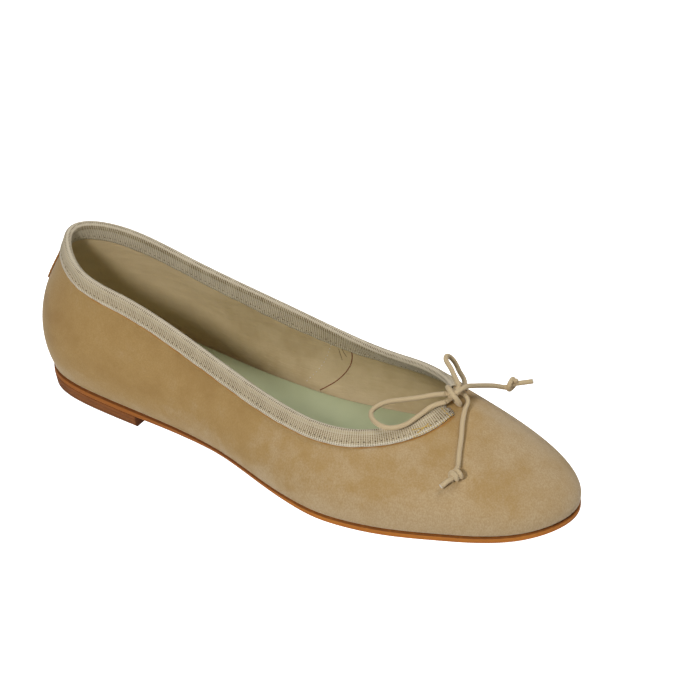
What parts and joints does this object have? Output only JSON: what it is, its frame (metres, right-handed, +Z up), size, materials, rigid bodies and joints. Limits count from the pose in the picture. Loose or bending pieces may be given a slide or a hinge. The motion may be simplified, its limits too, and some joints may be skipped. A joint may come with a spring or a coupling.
{
  "type": "ballet flat",
  "caption": "Women's round-toe ballet flat with a low stacked heel, an open throat, a ribbon-bound collar and a drawstring bow, made to be worn and to stand on a floor.",
  "frame": {"origin": "on the floor, under the middle of the shoe's box without its bow", "axes": "+X towards the toe, +Y towards the inner side of the foot, +Z up"},
  "size_m": [0.2506, 0.083, 0.0679],
  "materials": {
    "suede": "brushed nap",
    "ribbon": "woven, ribbed",
    "sole_leather": "dyed, satin edge",
    "heel_leather": "dyed, satin edge",
    "insole_leather": "smooth, soft sheen",
    "tab_leather": "suede face with a raw edge",
    "cord": "woven, matte"
  },
  "bodies": {
    "root": {"outsole": "sole_leather", "heel": "heel_leather", "insole": "insole_leather", "upper": "suede", "binding": "ribbon", "heel_tab": "tab_leather", "bow_knot": "cord", "loop_outer": "cord", "loop_inner": "cord", "tail_outer": "cord", "tail_inner": "cord", "tail_knot_outer": "cord", "tail_knot_inner": "cord"}
  },
  "joints": []
}
